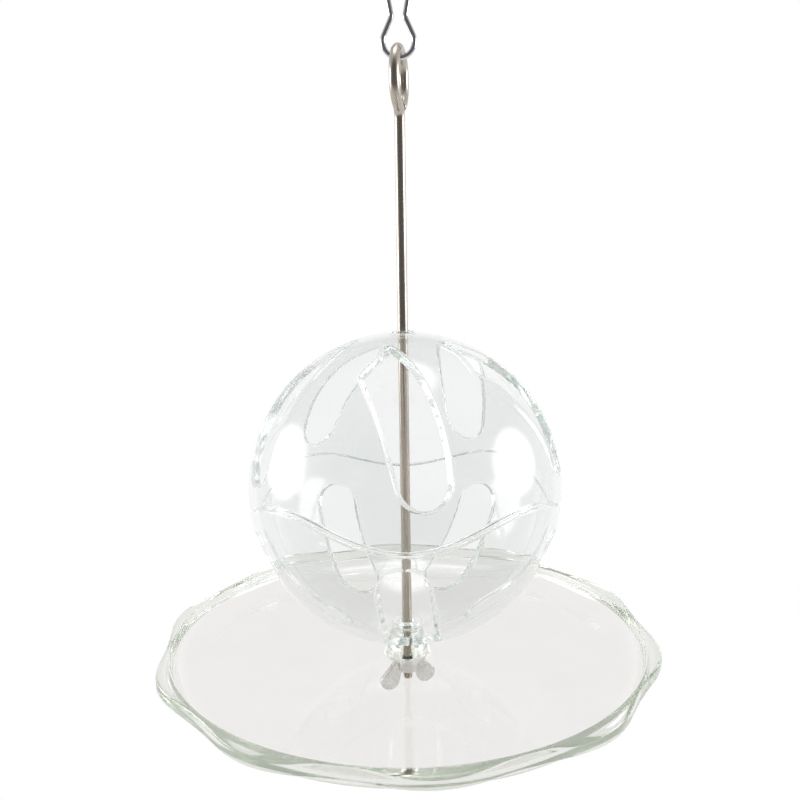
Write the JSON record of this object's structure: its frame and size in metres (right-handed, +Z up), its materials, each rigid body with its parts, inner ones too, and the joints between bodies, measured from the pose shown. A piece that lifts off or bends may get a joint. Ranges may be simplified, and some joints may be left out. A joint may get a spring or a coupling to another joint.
{
  "type": "bird foraging ball",
  "caption": "Clear split foraging ball with curved slots and round-ended ports on a steel rod above a clear scalloped tray, hung from a wire hook.",
  "frame": {"origin": "middle of the hook's upper loop, where the cage bar passes", "axes": "+Z up along the rod at rest, the front of the picture faces -Y, the hook lies in the XZ plane"},
  "size_m": [0.161, 0.1634, 0.2623],
  "materials": {
    "hook_wire": "bright plated wire",
    "rod_steel": "polished stainless",
    "clear_ball": "clear gloss moulding",
    "clear_tray": "clear gloss moulding, faintly green in thick edges",
    "fastener_steel": "plain stainless"
  },
  "bodies": {
    "hook": {"hanger_hook": "hook_wire"},
    "rod": {"eye_rod": "rod_steel"},
    "washer": {"washer": "fastener_steel"},
    "nut": {"wing_nut": "fastener_steel"},
    "tray": {"tray": "clear_tray"},
    "lower_shell": {"lower_shell": "clear_ball"},
    "upper_shell": {"upper_shell": "clear_ball"}
  },
  "joints": [
    {"name": "rod_swing", "type": "hinge", "parent": "hook", "child": "rod", "pos_m": [0, 0, -0.04977], "axis": [0.9848, -0.1736, 0], "range_deg": [-85, 85]},
    {"name": "stack_drop", "type": "slide", "parent": "rod", "child": "washer", "axis": [0, 0, -1], "range_m": [0, 0.0075]},
    {"name": "nut_turn", "type": "hinge", "parent": "washer", "child": "nut", "pos_m": [0, 0, -0.24427], "axis": [0, 0, -1], "range_deg": [0, 5472]},
    {"name": "tray_spin", "type": "hinge", "parent": "washer", "child": "tray", "pos_m": [0, 0, -0.24097], "axis": [0, 0, 1], "continuous": true},
    {"name": "ball_spin", "type": "hinge", "parent": "tray", "child": "lower_shell", "pos_m": [0, 0, -0.23147], "axis": [0, 0, 1], "continuous": true},
    {"name": "lid_lift", "type": "slide", "parent": "lower_shell", "child": "upper_shell", "axis": [0, 0, 1], "range_m": [0, 0.06]}
  ],
  "couplings": [
    {"joint": "nut_turn", "follows": "stack_drop", "rad_per_m": 12566}
  ]
}
